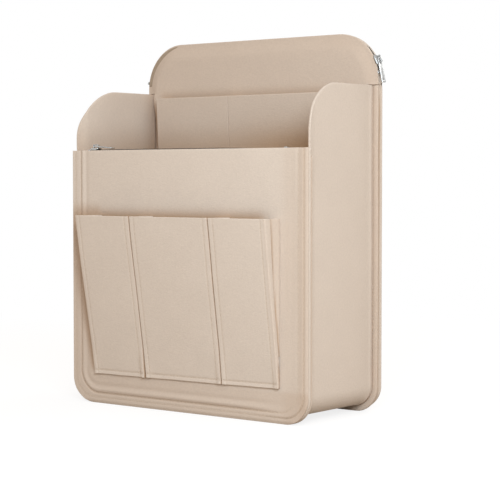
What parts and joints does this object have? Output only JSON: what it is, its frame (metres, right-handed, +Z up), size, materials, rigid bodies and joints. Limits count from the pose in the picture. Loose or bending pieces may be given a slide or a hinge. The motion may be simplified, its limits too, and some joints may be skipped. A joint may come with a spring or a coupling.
{
  "type": "backpack organizer insert",
  "caption": "Upright felt organizer for a backpack: low front wall, tall rounded back wall, pleated outer pocket, divided inner pocket and a zip pocket in each wall.",
  "frame": {"origin": "middle of the part's width and depth, at the height of the surface it stands on", "axes": "+Z up, -Y towards the front with the outer pocket, +X to the right seen from the front"},
  "size_m": [0.2448, 0.12, 0.3],
  "materials": {
    "felt": "matte pressed felt with a fine nap",
    "zip_tape": "woven tape",
    "zip_coil": "dark nylon coil",
    "zip_metal": "polished nickel plate"
  },
  "bodies": {
    "organizer": {"front_outer_panel": "felt", "front_inner_panel": "felt", "back_inner_panel": "felt", "back_outer_panel": "felt", "gusset": "felt", "outer_pocket": "felt", "inner_pocket": "felt", "front_zip_tape_front": "zip_tape", "front_zip_tape_rear": "zip_tape", "front_zip_coil_front": "zip_coil", "front_zip_coil_rear": "zip_coil", "front_zip_top_stop_front": "zip_metal", "front_zip_top_stop_rear": "zip_metal", "front_zip_bottom_stop": "zip_metal", "back_zip_tape_front": "zip_tape", "back_zip_tape_rear": "zip_tape", "back_zip_coil_front": "zip_coil", "back_zip_coil_rear": "zip_coil", "back_zip_top_stop_front": "zip_metal", "back_zip_top_stop_rear": "zip_metal", "back_zip_bottom_stop": "zip_metal"},
    "front_slider": {"front_zip_slider": "zip_metal"},
    "front_pull": {"front_zip_pull": "zip_metal"},
    "back_slider": {"back_zip_slider": "zip_metal"},
    "back_pull": {"back_zip_pull": "zip_metal"}
  },
  "joints": [
    {"name": "front_zip_travel", "type": "slide", "parent": "organizer", "child": "front_slider", "axis": [1, 0, 0], "range_m": [0, 0.1894]},
    {"name": "front_pull_swing", "type": "hinge", "parent": "front_slider", "child": "front_pull", "pos_m": [-0.0982, -0.0356, 0.21145], "axis": [0, -1, 0], "range_deg": [0, 140]},
    {"name": "back_zip_travel", "type": "hinge", "parent": "organizer", "child": "back_slider", "pos_m": [0.083, 0.0556, 0.2622], "axis": [0, -1, 0], "range_deg": [-5.5, 66]},
    {"name": "back_pull_swing", "type": "hinge", "parent": "back_slider", "child": "back_pull", "pos_m": [0.11995, 0.0556, 0.27865], "axis": [0, -1, 0], "range_deg": [0, 197]}
  ]
}
